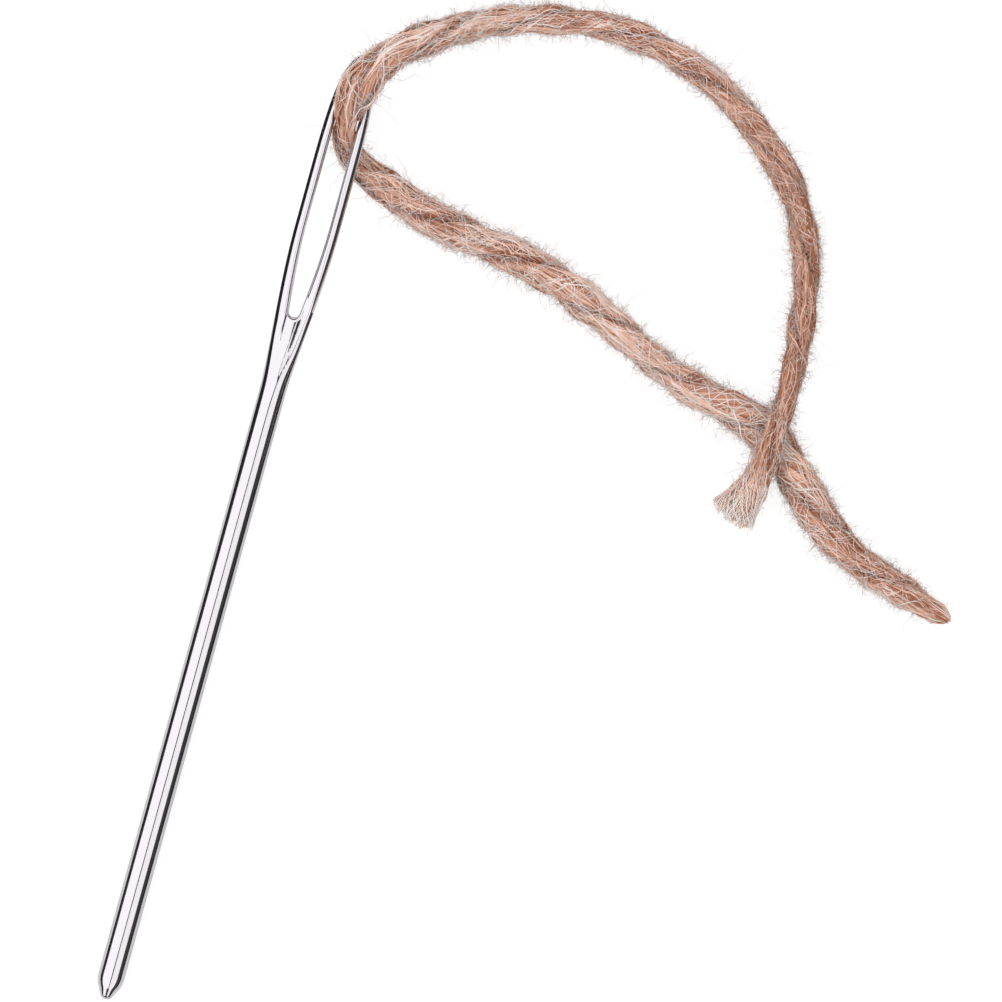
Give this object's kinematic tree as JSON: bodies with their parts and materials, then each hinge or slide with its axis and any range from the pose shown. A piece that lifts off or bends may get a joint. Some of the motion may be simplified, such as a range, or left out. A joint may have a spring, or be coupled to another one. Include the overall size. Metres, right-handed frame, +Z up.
{
  "type": "yarn needle",
  "caption": "Blunt large-eye steel yarn needle threaded with a short free length of two-ply jute yarn; the yarn slides along the long eye.",
  "frame": {"origin": "on the table, under the middle of the needle", "axes": "+X along the needle from its blunt tip to the end of its head, +Z up, the yarn on the -Y side"},
  "size_m": [0.0775, 0.0528, 0.0055],
  "materials": {
    "polished_steel": "bright nickel-plated polish",
    "jute_yarn": "hairy two-ply jute, matt"
  },
  "bodies": {
    "needle": {"needle_shaft": "polished_steel", "needle_head": "polished_steel"},
    "yarn": {"yarn_straight_run": "jute_yarn", "yarn_looped_run": "jute_yarn"}
  },
  "joints": [
    {"name": "yarn_slide", "type": "slide", "parent": "needle", "child": "yarn", "axis": [-0.9997, 0, -0.0257], "range_m": [0, 0.006]}
  ]
}
